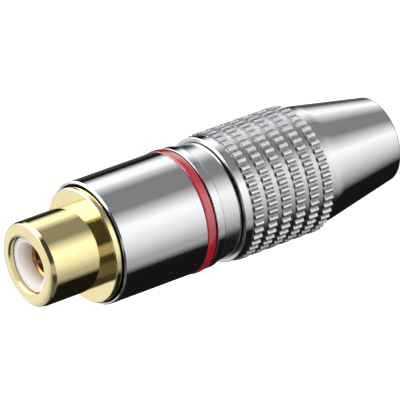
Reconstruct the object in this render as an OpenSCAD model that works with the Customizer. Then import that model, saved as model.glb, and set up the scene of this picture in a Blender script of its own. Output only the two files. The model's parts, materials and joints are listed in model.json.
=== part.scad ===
// In-line phono jack: a gold plated jack in a polished barrel, with a red colour ring,
// and a knurled back shell that screws on and closes a slotted collet on the cable.
// The part stands on its tail face at z = 0, and the jack's mouth points up along +Z.
// Lengths are in millimetres. Profiles are drawn as radius against height.

/* [Jack sleeve] */
// Outside diameter of the plated sleeve that a plug's ring slides over
sleeve_d = 8.3; // [7.8:0.05:9]
// Length of the sleeve from the flange to its front rim
sleeve_len = 6; // [5.5:0.05:9]
// Depth of the long bevel on the outer edge of the rim
rim_bevel = 0.1; // [0.05:0.01:0.2]
// Length of that bevel along the sleeve
rim_bevel_len = 0.35; // [0.2:0.05:0.6]
// Height of the crowned front face above the rim
crown_rise = 0.25; // [0.1:0.05:0.4]
// Bevel between the mouth and the crowned face
mouth_bevel = 0.2; // [0.1:0.01:0.4]
// Depth of the narrow mouth behind the rim
mouth_depth = 1.1; // [0.8:0.05:1.5]
// How far the mouth steps in from the sleeve's main bore
mouth_step = 0.2; // [0.15:0.01:0.35]
// How far the flange stands out of the barrel's front
flange_proud = 0.75; // [0.3:0.05:1]
// Bevel on the flange's edges
flange_bevel = 0.1; // [0.05:0.01:0.2]
// Length of the spigot behind its nut
spigot_tail = 0.6; // [0.4:0.05:1]
// Length of the lip rolled over behind the insulators
rolled_lip_len = 0.4; // [0.3:0.05:0.6]
// How far the rolled lip reaches inward from the bore
rolled_lip_inset = 0.35; // [0.2:0.05:0.45]

/* [Insulators] */
// Wall of the front insulator round the contact's fingers
insulator_wall = 0.85; // [0.6:0.01:0.9]
// Gap round an insulator in its bore
insulator_gap = 0.05; // [0.03:0.01:0.08]
// How far the front insulator's nose lies behind the rim
nose_set_back = 0.2; // [0.1:0.05:0.6]
// Width of the flat rim round the funnel's mouth
nose_rim = 0.6; // [0.4:0.01:0.7]
// Depth of the funnel from the nose to the contact
funnel_depth = 1.4; // [1:0.05:1.8]
// Gap round the pin in the throat at the funnel's foot
throat_gap = 0.08; // [0.05:0.01:0.15]
// Length of the rear insulator
rear_insulator_len = 1.8; // [1.4:0.05:2.2]

/* [Centre contact] */
// Bore that takes the plug's pin
contact_bore_d = 3.24; // [2.9:0.01:3.6]
// Wall of the contact's fingers
contact_wall = 0.33; // [0.28:0.01:0.4]
// Depth of the pin bore
contact_depth = 12; // [10:0.1:13.5]
// Number of slots between the fingers
finger_slots = 4; // [2:1:6]
// Width of each slot
finger_slot_w = 0.35; // [0.25:0.05:0.5]
// Length of each slot
finger_slot_len = 6; // [4:0.1:7]
// Room round the fingers for their spring
finger_room = 0.15; // [0.1:0.01:0.2]
// How far the collar between the insulators stands out of the contact
contact_collar_step = 0.3; // [0.2:0.01:0.35]
// Length of that collar
contact_collar_len = 0.6; // [0.4:0.05:0.8]
// Thickness of the floor between the pin bore and the solder cup
contact_floor = 0.9; // [0.7:0.05:1.2]
// Outside diameter of the solder cup
cup_d = 2.6; // [2.3:0.05:3]
// Bore of the solder cup
cup_bore_d = 1.7; // [1.4:0.05:1.9]
// Length of the solder cup
cup_len = 3.4; // [2.8:0.1:4]
// Part of the cup's length that is open on one side
cup_open_share = 0.7; // [0.5:0.05:0.8]

/* [Barrel] */
// Outside diameter of the barrel, which the rest of the outside steps up and down from
barrel_d = 12.1; // [10.8:0.05:14]
// Length of the barrel
barrel_len = 9.5; // [8.6:0.05:12]
// Wall of the barrel round its threaded bore
barrel_wall = 0.77; // [0.6:0.01:0.9]
// Bevel on the barrel's front edge
barrel_bevel = 0.22; // [0.1:0.01:0.26]
// Width of the barrel's rim round the flange
barrel_rim = 0.37; // [0.3:0.01:0.6]
// Depth of the recess that the flange sits in
seat_depth = 1.5; // [1.2:0.05:1.8]
// Thickness of the web that the sleeve is bolted to
web_thk = 1.4; // [1.1:0.05:1.7]
// Gap between the flange and the wall of its recess
flange_gap = 0.05; // [0.03:0.01:0.08]

/* [Nut and ground tag] */
// Thickness of the nut behind the web
nut_thk = 1.8; // [1.4:0.05:2.1]
// Gap between the nut's corners and the barrel's bore
nut_room = 0.2; // [0.15:0.01:0.3]
// Wall of the nut between its flats and its bore
nut_wall = 0.6; // [0.5:0.01:0.7]
// Bevel on the nut's corners
nut_bevel = 0.25; // [0.1:0.01:0.3]
// Gap between the spigot and what is threaded on it
spigot_gap = 0.05; // [0.03:0.01:0.08]
// Thickness of the ground tag's ring
tag_thk = 0.4; // [0.3:0.05:0.5]
// Thickness of the tag's blade
blade_thk = 0.35; // [0.25:0.01:0.4]
// Width of the tag's blade
blade_w = 2; // [1.6:0.05:2.2]
// Gap between the blade and the flat of the nut
blade_gap = 0.05; // [0.03:0.01:0.08]
// How far the blade's joggle steps inward
joggle_step = 1; // [0.9:0.05:1.2]
// Length of the blade's joggle
joggle_len = 1.15; // [0.9:0.05:1.3]
// Length of the blade behind the joggle
blade_tail = 3.3; // [2.6:0.1:4]
// Diameter of the solder hole in the blade
blade_hole_d = 1; // [0.7:0.05:1.2]

/* [Colour ring] */
// How far the colour ring stands proud of the barrel
ring_proud = 0.1; // [0.05:0.01:0.2]
// Thickness of the colour ring
ring_thk = 0.52; // [0.4:0.01:0.6]
// Length of the colour ring
ring_len = 1.15; // [0.8:0.05:1.6]
// Height of the ring's crowned outer face
ring_crown = 0.08; // [0.04:0.01:0.12]
// Gap between the ring and its seat
ring_gap = 0.03; // [0.02:0.01:0.05]

/* [Rear body] */
// Gap round each thread
thread_gap = 0.03; // [0.02:0.01:0.05]
// Gap between ends that face each other and don't seat
end_gap = 0.05; // [0.03:0.01:0.1]
// Length of the thread that the back shell screws on
rear_thread_len = 7.65; // [6.8:0.05:9]
// Length of the undercut at the root of the rear thread
undercut_len = 0.6; // [0.4:0.05:0.8]
// Depth of that undercut
undercut_depth = 0.2; // [0.1:0.05:0.25]
// Bevel at the ends of the threads
thread_bevel = 0.25; // [0.15:0.05:0.3]
// How far the neck steps in from the band
neck_step = 0.3; // [0.2:0.01:0.5]
// Length of the neck
neck_len = 2.05; // [1.6:0.05:2.6]
// Length of the polished band behind the colour ring
band_len = 0.95; // [0.8:0.05:1.8]
// Rounding on the band's rear edge
band_round = 0.17; // [0.08:0.01:0.19]
// Wall of the rear body between its thread and its bore
body_wall = 0.85; // [0.7:0.01:0.95]
// Length of the lip at the rear of that bore
body_lip_len = 0.9; // [0.7:0.05:1.2]
// How far that lip steps in from the bore
body_lip_step = 0.5; // [0.35:0.01:0.6]

/* [Insulating tube] */
// Wall of the tube that lines the rear body
tube_wall = 0.25; // [0.2:0.01:0.3]
// Gap between the tube and the rear body's bore
tube_gap = 0.05; // [0.03:0.01:0.08]
// How far the tube ends short of the rear body's front
tube_set_back = 0.2; // [0.1:0.05:0.4]

/* [Cable and collet] */
// Diameter of the cable that the collet grips
cable_d = 6; // [5.2:0.1:6.6]
// Gap round the cable in the tail's hole
cable_gap = 0.05; // [0.03:0.01:0.1]
// Gap between the collet and the shell
collet_gap = 0.05; // [0.03:0.01:0.08]
// Gap between the collet's nose and the tail's lip
nose_gap = 0.5; // [0.3:0.05:0.8]
// Length of the collet's collar
collet_collar_len = 2.65; // [2.2:0.05:3]
// Length of the waist between the collar and the jaws
waist_len = 1.4; // [1.1:0.05:1.6]
// Depth of the waist, which lets the jaws bend
waist_depth = 0.8; // [0.5:0.05:0.9]
// Length of the waist between the collar and the slots
waist_root = 0.5; // [0.3:0.05:0.8]
// Number of slots between the jaws
jaw_slots = 4; // [2:1:6]
// Width of each slot
jaw_slot_w = 0.8; // [0.6:0.05:1]
// Number of gripping grooves inside the jaws
grip_grooves = 3; // [1:1:4]
// Pitch of the gripping grooves
grip_pitch = 1.3; // [1.1:0.05:1.5]
// Depth of the gripping grooves
grip_depth = 0.2; // [0.1:0.01:0.24]
// Width of each gripping groove, with its slope
grip_groove_w = 0.6; // [0.4:0.05:0.8]
// Distance from the collet's nose to the first gripping groove
grip_margin = 0.6; // [0.4:0.05:0.8]

/* [Back shell] */
// How far the smooth collar behind the knurl steps in from the teeth
collar_step = 0.51; // [0.4:0.01:0.65]
// Length of that collar
collar_len = 1.3; // [1:0.05:2]
// Width of the tail's end round the cable hole, to where the cone's line meets it
tail_rim = 1.19; // [0.85:0.01:1.2]
// Length of the tail's cone
cone_len = 8.55; // [7.5:0.05:10]
// Rounding at the end of the tail
tail_round = 0.2; // [0.1:0.05:0.8]
// Wall of the tail's cone
tail_wall = 0.85; // [0.7:0.01:0.95]
// Length of the lip round the cable hole
tail_lip_len = 1.5; // [1.2:0.05:1.8]
// Length of the shell's thread behind the rear body
thread_run_out = 1.5; // [1:0.05:2]
// How far the shell's smooth front lip steps in from the teeth
lip_step = 0.17; // [0.1:0.01:0.24]
// Length of the front lip
lip_len = 0.9; // [0.6:0.05:1.2]
// Bevel on the lip's rear edge, beside the knurl
lip_bevel = 0.05; // [0.03:0.01:0.06]
// Bevel on the lip's front edge
lip_front_bevel = 0.15; // [0.05:0.01:0.25]
// Gap between the shell's lip and the neck of the rear body
screw_gap = 0.1; // [0.1:0.05:0.4]

/* [Knurl] */
// How far the knurl's teeth stand proud of the barrel
knurl_proud = 0.33; // [0.1:0.01:0.5]
// Number of teeth round the grip
teeth = 48; // [44:4:60]
// Depth of the valleys between the teeth
tooth_depth = 0.28; // [0.15:0.01:0.32]
// Width of a tooth's land as a share of the pitch round the grip
land_share = 0.35; // [0.3:0.01:0.6]
// Width of a valley's floor as a share of that pitch
floor_share = 0.33; // [0.05:0.01:0.36]
// Number of bands of teeth along the grip
bands = 6; // [5:1:8]
// Length of each band
pad_len = 0.98; // [0.9:0.02:1.3]
// Length of the groove between two bands
groove_len = 0.66; // [0.4:0.02:0.7]
// How far the grooves lie below the valleys
groove_extra = 0.04; // [0.02:0.01:0.08]
// Bevel on the ends of the teeth
pad_bevel = 0.06; // [0.04:0.01:0.15]
// Length of the narrow groove beside the front lip
lip_groove = 0.2; // [0.1:0.01:0.3]

/* [Hidden] */

GOLD = [0.86, 0.72, 0.36];
CHROME = [0.78, 0.79, 0.80];
TINNED = [0.70, 0.70, 0.68];
NATURAL = [0.95, 0.95, 0.93];
RED = [0.78, 0.10, 0.12];
PAPER = [0.55, 0.38, 0.20];
NYLON = [0.12, 0.12, 0.13];

// Smoothness of round parts, and the overshoot of cuts through a face
$fn = 96;
eps = 0.05;

// Radii of the outside: each steps up or down from the barrel
barrel_r = barrel_d / 2;
band_r = barrel_r;
ring_r = barrel_r + ring_proud;
ring_seat_r = ring_r - ring_thk - ring_gap;
neck_r = band_r - neck_step;
knurl_r = barrel_r + knurl_proud;
valley_r = knurl_r - tooth_depth;
groove_r = valley_r - groove_extra;
lip_r = knurl_r - lip_step;
collar_r = knurl_r - collar_step;

// Radii of the threads, the nut on the sleeve's spigot and the lining
thread_bore_r = barrel_r - barrel_wall;
thread_r = thread_bore_r - thread_gap;
body_bore_r = thread_r - body_wall;
tube_r = body_bore_r - tube_gap;
nut_corner_r = thread_bore_r - nut_room;
nut_flat_r = nut_corner_r * cos(30);
spigot_bore_r = nut_flat_r - nut_wall;
spigot_r = spigot_bore_r - spigot_gap;
blade_in_r = nut_flat_r + blade_gap;
flange_bore_r = barrel_r - barrel_rim;
flange_r = flange_bore_r - flange_gap;

// Radii round the plug's pin, from the contact out to the sleeve
sleeve_r = sleeve_d / 2;
contact_bore_r = contact_bore_d / 2;
contact_r = contact_bore_r + contact_wall;
contact_collar_r = contact_r + contact_collar_step;
contact_hole_r = contact_r + insulator_gap;
finger_bore_r = contact_r + finger_room;
insulator_r = finger_bore_r + insulator_wall;
sleeve_bore_r = insulator_r + insulator_gap;
mouth_r = sleeve_bore_r - mouth_step;
nose_r = mouth_r - insulator_gap;
throat_r = contact_bore_r + throat_gap;
funnel_r = nose_r - nose_rim;
cup_r = cup_d / 2;

// Radii round the cable
cable_r = cable_d / 2;
cable_hole_r = cable_r + cable_gap;
tail_r = cable_hole_r + tail_rim;

// Heights of the back shell, from the tail up
collar_z = cone_len;
knurl_z = collar_z + collar_len;
band_pitch = pad_len + groove_len;
knurl_top = knurl_z + bands * band_pitch - groove_len;
lip_z = knurl_top + lip_groove;
shell_top = lip_z + lip_len;

// Heights of the rear body and the barrel
neck_z = shell_top + screw_gap;
body_z = neck_z - rear_thread_len;
band_z = neck_z + neck_len;
ring_z = band_z + band_len;
barrel_z = ring_z + ring_len;
barrel_top = barrel_z + barrel_len;

// Heights of the jack
flange_z = barrel_top - seat_depth;
flange_top = barrel_top + flange_proud;
web_z = flange_z - web_thk;
tag_z = web_z - tag_thk;
nut_z = tag_z - nut_thk;
spigot_z = nut_z - spigot_tail;
joggle_top = spigot_z - end_gap;
joggle_foot = joggle_top - joggle_len;
rim_z = flange_top + sleeve_len;
crown_z = rim_z + crown_rise;
mouth_z = rim_z - mouth_depth;
nose_z = rim_z - nose_set_back;
contact_top = nose_z - funnel_depth;
rear_insulator_z = spigot_z + rolled_lip_len;
front_insulator_z = rear_insulator_z + rear_insulator_len;
pin_floor_z = contact_top - contact_depth;
cup_top = pin_floor_z - contact_floor;
cup_z = cup_top - cup_len;

// Front end of the rear body, just behind the tag's joggle, and the tube inside
body_top = joggle_foot - end_gap;
tube_z = body_z + body_lip_len;
tube_top = body_top - tube_set_back;

// Radius of the crowned face, level at the mouth's bevel and ending at the rim
crown_in_r = mouth_r + mouth_bevel;
crown_run = sleeve_r - crown_in_r;
crown_arc = (crown_run * crown_run + crown_rise * crown_rise) / (2 * crown_rise);
rim_slope = rim_bevel / rim_bevel_len;

// Radius of the colour ring's crowned face
ring_arc = (ring_len * ring_len / 4 + ring_crown * ring_crown) / (2 * ring_crown);

// Tail: the cone's slope, and the centre of the arc that meets the cone and the tail face
cone_slope = (collar_r - tail_r) / cone_len;
cone_slant = sqrt(1 + cone_slope * cone_slope);
tail_arc_r = tail_r + tail_round * (cone_slope - cone_slant);

// Inside of the shell: the cone follows the outside, and a bore guides the collet's collar
function cone_in_r(z) = tail_r + cone_slope * z - tail_wall;
guide_r = cone_in_r(collar_z);
thread_bore_z = body_z - thread_run_out;

// Collet: the nose follows the shell's cone, and the collar stops just behind the rear body
collet_z = tail_lip_len + nose_gap;
collet_top = body_z - end_gap;
collet_collar_r = guide_r - collet_gap;
collet_collar_z = collet_top - collet_collar_len;
waist_z = collet_collar_z - waist_len;
waist_r = collet_collar_r - waist_depth;
jaw_slot_top = collet_collar_z - waist_root;

// Corner of a turned profile taken off at 45 degrees, pointing to the sides dr and dz
module bevel_cut(r, z, size, dr, dz) {
    polygon([
        [r - dr * (size + eps), z + dz * eps],
        [r + dr * eps, z - dz * (size + eps)],
        [r + dr * eps, z + dz * eps]
    ]);
}

// Corner of a turned profile rounded with a true arc, pointing to the sides dr and dz
module round_cut(r, z, radius, dr, dz) {
    reach = radius + eps;
    difference() {
        translate([r + dr * (eps - reach / 2), z + dz * (eps - reach / 2)])
            square(reach, center = true);
        translate([r - dr * radius, z - dz * radius])
            circle(radius);
    }
}

// Ring of a turned part between two radii and two heights
module step(r_in, r_out, z_low, z_high) {
    translate([r_in, z_low])
        square([r_out - r_in, z_high - z_low]);
}

// Slots cut from the axis outward through a round wall
module radial_slots(count, reach, width, z_low, z_high) {
    for (i = [0 : count - 1])
        rotate([0, 0, i * 360 / count])
            translate([0, -width / 2, z_low])
                cube([reach, width, z_high - z_low]);
}

module contact_sleeve() {
    color(GOLD)
    rotate_extrude()
    difference() {
        union() {
            step(0, spigot_r, spigot_z, flange_z + eps);
            step(0, flange_r, flange_z, flange_top);
            step(0, sleeve_r, flange_top - eps, crown_z);
        }
        step(0, sleeve_bore_r - rolled_lip_inset, spigot_z - eps, rear_insulator_z + eps);
        step(0, sleeve_bore_r, rear_insulator_z, mouth_z);
        step(0, mouth_r, mouth_z - eps, crown_z + eps);
        bevel_cut(mouth_r, crown_z, mouth_bevel, -1, 1);
        bevel_cut(flange_r, flange_top, flange_bevel, 1, 1);
        bevel_cut(flange_r, flange_z, flange_bevel, 1, -1);
        bevel_cut(spigot_r, spigot_z, thread_bevel, 1, -1);
        // Crowned front face: all above its arc is cut away
        difference() {
            step(crown_in_r, sleeve_r + eps, rim_z - rim_bevel, crown_z + eps);
            translate([crown_in_r, crown_z - crown_arc])
                circle(crown_arc, $fn = 360);
        }
        // Long bevel that leads the plug's ring on
        polygon([
            [sleeve_r + eps, rim_z - rim_bevel_len - eps / rim_slope],
            [sleeve_r + eps, crown_z + eps],
            [sleeve_r - rim_bevel - (crown_rise + eps) * rim_slope, crown_z + eps]
        ]);
    }
}

module front_insulator() {
    color(NATURAL)
    rotate_extrude()
    difference() {
        union() {
            step(0, insulator_r, front_insulator_z, mouth_z);
            step(0, nose_r, mouth_z - eps, nose_z);
        }
        step(0, contact_collar_r + insulator_gap, front_insulator_z - eps,
            front_insulator_z + contact_collar_len + end_gap);
        step(0, finger_bore_r, front_insulator_z, contact_top);
        // Funnel that guides the pin from the nose into the contact
        polygon([
            [0, contact_top - eps],
            [throat_r, contact_top - eps],
            [throat_r, contact_top],
            [funnel_r, nose_z],
            [funnel_r, nose_z + eps],
            [0, nose_z + eps]
        ]);
    }
}

module rear_insulator() {
    color(NATURAL)
    rotate_extrude()
    step(contact_hole_r, insulator_r, rear_insulator_z, front_insulator_z);
}

module centre_contact() {
    color(GOLD)
    difference() {
        rotate_extrude()
        difference() {
            union() {
                step(0, cup_r, cup_z, cup_top + eps);
                step(0, contact_r, cup_top, contact_top - end_gap);
                step(0, contact_collar_r, front_insulator_z,
                    front_insulator_z + contact_collar_len);
            }
            step(0, contact_bore_r, pin_floor_z, contact_top);
            step(0, cup_bore_d / 2, cup_z - eps, cup_top - contact_floor / 2);
            bevel_cut(contact_bore_r, contact_top - end_gap, contact_wall / 2, -1, 1);
        }
        radial_slots(finger_slots, contact_r + eps, finger_slot_w,
            contact_top - finger_slot_len, contact_top);
        // Open side of the solder cup
        translate([0, -cup_r - eps, cup_z - eps])
            cube([cup_r + eps, cup_d + 2 * eps, cup_len * cup_open_share]);
    }
}

module ground_tag() {
    blade_out_r = blade_in_r + blade_thk;
    blade_end = joggle_foot - blade_tail;
    color(TINNED)
    difference() {
        union() {
            translate([0, 0, tag_z])
                cylinder(r = nut_flat_r, h = tag_thk);
            // Blade: out over the nut's flat, down its side, in by a joggle, and on to the eye
            translate([0, blade_w / 2, 0])
            rotate([90, 0, 0])
            linear_extrude(blade_w)
            polygon([
                [spigot_bore_r, tag_z],
                [blade_in_r, tag_z],
                [blade_in_r, joggle_top],
                [blade_in_r - joggle_step, joggle_foot],
                [blade_in_r - joggle_step, blade_end],
                [blade_out_r - joggle_step, blade_end],
                [blade_out_r - joggle_step, joggle_foot],
                [blade_out_r, joggle_top],
                [blade_out_r, web_z],
                [spigot_bore_r, web_z]
            ]);
        }
        translate([0, 0, tag_z - eps])
            cylinder(r = spigot_bore_r, h = tag_thk + 2 * eps);
        translate([0, 0, blade_end + blade_w / 2])
            rotate([0, 90, 0])
                cylinder(d = blade_hole_d, h = barrel_r);
    }
}

module lock_nut() {
    color(TINNED)
    translate([0, 0, nut_z])
    difference() {
        intersection() {
            rotate([0, 0, 30])
                cylinder(r = nut_corner_r, h = nut_thk, $fn = 6);
            rotate_extrude()
            difference() {
                step(0, nut_corner_r + eps, 0, nut_thk);
                bevel_cut(nut_corner_r, 0, nut_bevel, 1, -1);
                bevel_cut(nut_corner_r, nut_thk, nut_bevel, 1, 1);
            }
        }
        translate([0, 0, -eps])
            cylinder(r = spigot_bore_r, h = nut_thk + 2 * eps);
    }
}

module front_barrel() {
    color(CHROME)
    rotate_extrude()
    difference() {
        step(0, barrel_r, barrel_z, barrel_top);
        step(0, thread_bore_r, barrel_z - eps, web_z);
        step(0, spigot_bore_r, web_z - eps, flange_z + eps);
        step(0, flange_bore_r, flange_z, barrel_top + eps);
        bevel_cut(barrel_r, barrel_top, barrel_bevel, 1, 1);
        bevel_cut(thread_bore_r, barrel_z, thread_bevel, -1, -1);
    }
}

module colour_ring() {
    color(RED)
    rotate_extrude()
    intersection() {
        step(ring_seat_r + ring_gap, ring_r, ring_z, barrel_z);
        translate([ring_r - ring_arc, ring_z + ring_len / 2])
            circle(ring_arc, $fn = 360);
    }
}

module rear_body() {
    color(CHROME)
    rotate_extrude()
    difference() {
        union() {
            step(0, thread_r, body_z, neck_z + eps);
            step(0, neck_r, neck_z, band_z + eps);
            step(0, band_r, band_z, ring_z);
            step(0, ring_seat_r, ring_z - eps, barrel_z);
            step(0, thread_r, barrel_z - eps, body_top);
        }
        step(0, body_bore_r - body_lip_step, body_z - eps, tube_z + eps);
        step(0, body_bore_r, tube_z, body_top + eps);
        step(thread_r - undercut_depth, thread_r + eps, neck_z - undercut_len, neck_z);
        bevel_cut(thread_r, body_z, thread_bevel, 1, -1);
        bevel_cut(thread_r, body_top, thread_bevel, 1, 1);
        round_cut(band_r, band_z, band_round, 1, -1);
    }
}

module insulating_tube() {
    color(PAPER)
    rotate_extrude()
    step(tube_r - tube_wall, tube_r, tube_z, tube_top);
}

module clamp_collet() {
    color(NYLON)
    difference() {
        rotate_extrude()
        difference() {
            // Outside: the shell's own inside, less the gap
            polygon([
                [cable_r, collet_z],
                [cone_in_r(collet_z) - collet_gap, collet_z],
                [collet_collar_r, collar_z],
                [collet_collar_r, collet_top],
                [cable_r, collet_top]
            ]);
            step(waist_r, collet_collar_r + eps, waist_z, collet_collar_z);
            for (i = [0 : grip_grooves - 1]) {
                groove_z = collet_z + grip_margin + i * grip_pitch;
                // Ratchet tooth: it lets the cable in and holds it against a pull
                polygon([
                    [cable_r - eps, groove_z],
                    [cable_r + grip_depth, groove_z],
                    [cable_r - eps, groove_z + grip_groove_w]
                ]);
            }
        }
        radial_slots(jaw_slots, collet_collar_r + eps, jaw_slot_w,
            collet_z - eps, jaw_slot_top);
    }
}

// Outline of the teeth round the whole grip, a little higher than the knurl itself
module tooth_ring() {
    over_r = knurl_r + eps;
    land_half = land_share * 180 / teeth;
    foot_half = (1 - floor_share) * 180 / teeth;
    over_half = land_half - (foot_half - land_half) * eps / tooth_depth;
    corners = [
        [valley_r, -foot_half],
        [over_r, -over_half],
        [over_r, over_half],
        [valley_r, foot_half]
    ];
    polygon([
        for (i = [0 : teeth - 1], corner = corners)
            let (angle = i * 360 / teeth + corner[1])
            corner[0] * [cos(angle), sin(angle)]
    ]);
}

module knurl() {
    intersection() {
        translate([0, 0, knurl_z - eps])
            linear_extrude(knurl_top - knurl_z + 2 * eps)
                tooth_ring();
        rotate_extrude()
        for (i = [0 : bands - 1]) {
            band_low = knurl_z + i * band_pitch;
            difference() {
                step(groove_r - eps, knurl_r, band_low, band_low + pad_len);
                bevel_cut(knurl_r, band_low, pad_bevel, 1, -1);
                bevel_cut(knurl_r, band_low + pad_len, pad_bevel, 1, 1);
            }
        }
    }
}

// What the tail's rounding takes off, between the tail face and the sloping cone
module tail_corner() {
    reach = tail_round + eps;
    difference() {
        polygon([
            [tail_arc_r, tail_round],
            [tail_arc_r, -eps],
            [tail_arc_r + reach, -eps],
            [tail_arc_r + reach / cone_slant, tail_round - reach * cone_slope / cone_slant]
        ]);
        translate([tail_arc_r, tail_round])
            circle(tail_round);
    }
}

module back_shell() {
    color(CHROME)
    union() {
        rotate_extrude()
        difference() {
            polygon([
                [0, 0],
                [tail_r, 0],
                [collar_r, collar_z],
                [collar_r, knurl_z],
                [groove_r, knurl_z],
                [groove_r, lip_z],
                [lip_r, lip_z],
                [lip_r, shell_top],
                [0, shell_top]
            ]);
            step(0, cable_hole_r, -eps, tail_lip_len + eps);
            polygon([
                [0, tail_lip_len],
                [cone_in_r(tail_lip_len), tail_lip_len],
                [guide_r, collar_z],
                [guide_r, thread_bore_z + eps],
                [0, thread_bore_z + eps]
            ]);
            step(0, thread_bore_r, thread_bore_z, shell_top + eps);
            bevel_cut(thread_bore_r, shell_top, thread_bevel, -1, 1);
            bevel_cut(lip_r, shell_top, lip_front_bevel, 1, 1);
            bevel_cut(lip_r, lip_z, lip_bevel, 1, -1);
            tail_corner();
        }
        knurl();
    }
}

contact_sleeve();
front_insulator();
rear_insulator();
centre_contact();
ground_tag();
lock_nut();
front_barrel();
colour_ring();
rear_body();
insulating_tube();
clamp_collet();
back_shell();
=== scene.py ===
# In-line phono socket: a gold plated jack in a polished barrel, with a red colour ring and a
# knurled back shell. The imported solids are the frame. Each turned piece that shows is made
# again here with rounded edges, a fine knurl and a real thread, and the pieces inside keep
# their solids. The part stands on its tail, and the jack's mouth points up along +Z.

import json
import math

import bpy
import numpy as np
from bpy.props import FloatProperty, FloatVectorProperty, IntProperty, PointerProperty
from mathutils import Matrix, Vector


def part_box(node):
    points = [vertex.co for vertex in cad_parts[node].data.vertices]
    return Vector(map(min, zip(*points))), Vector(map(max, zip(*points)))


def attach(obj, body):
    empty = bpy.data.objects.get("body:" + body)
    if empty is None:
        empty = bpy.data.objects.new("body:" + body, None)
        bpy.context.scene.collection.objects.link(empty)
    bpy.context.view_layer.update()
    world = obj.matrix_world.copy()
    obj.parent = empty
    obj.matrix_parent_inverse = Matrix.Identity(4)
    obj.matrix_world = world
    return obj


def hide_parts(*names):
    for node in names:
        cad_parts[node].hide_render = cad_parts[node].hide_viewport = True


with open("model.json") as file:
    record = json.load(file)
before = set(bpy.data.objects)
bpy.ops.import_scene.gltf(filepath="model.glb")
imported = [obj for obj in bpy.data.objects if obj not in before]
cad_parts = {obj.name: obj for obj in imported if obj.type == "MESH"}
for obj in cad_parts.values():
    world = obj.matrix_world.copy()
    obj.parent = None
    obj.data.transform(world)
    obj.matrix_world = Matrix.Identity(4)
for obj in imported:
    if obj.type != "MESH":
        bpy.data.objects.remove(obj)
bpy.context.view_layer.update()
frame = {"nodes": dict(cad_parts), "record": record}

bl_info = {
    "name": "In-line phono socket",
    "version": (1, 0, 0),
    "blender": (4, 5, 0),
    "location": "View3D > Sidebar > Phono Socket",
    "description": "Builds the visible pieces, the finishes and the studio of a phono socket",
    "category": "Add Mesh",
}

MM = 0.001
WHITE = (1.0, 1.0, 1.0, 1.0)

# Angles of the columns round a plain turned piece
ROUND_COLUMNS = [i * math.tau / 192 for i in range(192)]
# Largest turn between two points of a rounded edge
ROUND_STEP = math.radians(22)
# Largest share of a side that the rounding of one of its corners takes
ROUND_SHARE = 0.45
# Least change of radius round a piece that counts as a knurl or a thread
UNEVEN = 0.001 * MM
# Steps along the crowned face of the sleeve and of the colour ring, and round a tooth's end
SLEEVE_STEPS = 11
RING_STEPS = 8
TOOTH_STEPS = 3
# Rows of the thread in one turn
THREAD_ROWS = 10
# Columns of a tooth, as shares of half the valley's floor and of half the land
VALLEY_COLUMN = 0.2
LAND_COLUMNS = (1.0, 0.85, 0.4)
# How far up a face has to look to count as a tooth's front end, or as the front of the lip
TOOTH_END = 0.7
LIP_FRONT = 0.5


# Sizes that the frame gives

def foot(node):
    """Height of a node's lowest point"""
    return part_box(node)[0][2]


def top(node):
    """Height of a node's highest point"""
    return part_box(node)[1][2]


def reach(node):
    """Largest radius of a round node"""
    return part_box(node)[1][0]


def mount_radius(name):
    """Radius of one of the record's mounts"""
    for mount in frame["record"]["mounts"]:
        if mount["name"] == name:
            return mount["dims"]["r_mm"] * MM
    raise RuntimeError("the record has no mount " + name)


# Properties

def length(name, description, millimetres):
    """A length, given in millimetres and kept in metres as the frame is"""
    return FloatProperty(name=name, description=description, default=millimetres * MM,
                         min=0.0, subtype="DISTANCE", unit="LENGTH", precision=5)


def from_hex(code):
    """Linear colour of an sRGB hex value"""
    channels = [int(code[i:i + 2], 16) / 255 for i in (1, 3, 5)]
    return tuple(c / 12.92 if c <= 0.04045 else ((c + 0.055) / 1.055) ** 2.4 for c in channels)


def colour(name, description, code):
    """A colour, given as an sRGB hex value"""
    return FloatVectorProperty(name=name, description=description, default=from_hex(code),
                               subtype="COLOR", size=3, min=0.0, max=1.0)


def share(name, description, value, highest=1.0):
    """A plain number from 0 to its highest value"""
    return FloatProperty(name=name, description=description, default=value,
                         min=0.0, max=highest)


def angle(name, description, degrees):
    """An angle, given in degrees"""
    return FloatProperty(name=name, description=description, default=math.radians(degrees),
                         subtype="ANGLE", unit="ROTATION")


class JackSizes(bpy.types.PropertyGroup):
    rim_bevel: length("Rim bevel", "Depth of the long bevel on the sleeve's outer edge", 0.1)
    rim_bevel_len: length("Rim bevel length", "Length of that bevel along the sleeve", 0.35)
    crown_rise: length("Crown", "Height of the crowned front face above the rim", 0.25)
    mouth_bevel: length("Mouth bevel", "Width of the bevel between the mouth and the crown", 0.2)
    mouth_fall: length("Mouth bevel depth", "Depth of that bevel", 0.12)
    mouth_depth: length("Mouth depth", "Depth of the narrow mouth behind the rim", 1.1)
    mouth_step: length("Mouth step", "Step from the mouth out to the main bore", 0.2)
    bore_gap: length("Bore gap", "Gap between the insulator and the sleeve", 0.05)
    flange_proud: length("Flange", "How far the flange stands out of the barrel", 0.75)
    flange_bevel: length("Flange bevel", "Bevel on the flange's edges", 0.1)
    seat_depth: length("Seat depth", "Depth of the recess that the flange sits in", 1.5)
    spigot_step: length("Spigot step", "Step from the sleeve in to its spigot", 0.4)
    spigot_round: length("Spigot end", "Rounding of the spigot's end", 0.1)
    lip_inset: length("Rolled lip", "Reach of the rolled lip in behind the insulators", 0.35)
    lip_len: length("Rolled lip length", "Length of the rolled lip", 0.4)
    nose_rim: length("Nose rim", "Flat rim round the funnel's mouth", 0.6)
    throat_gap: length("Throat gap", "Gap round the pin at the funnel's foot", 0.08)
    funnel_depth: length("Funnel depth", "Depth of the funnel", 1.4)
    finger_bore: length("Finger bore", "Radius of the bore round the contact's fingers", 2.1)
    collar_bore: length("Collar bore", "Radius of the bore round the contact's collar", 2.3)
    collar_depth: length("Collar depth", "Depth of that bore", 0.65)
    edge_round: length("Edge", "Rounding of the finished edges", 0.03)


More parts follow.
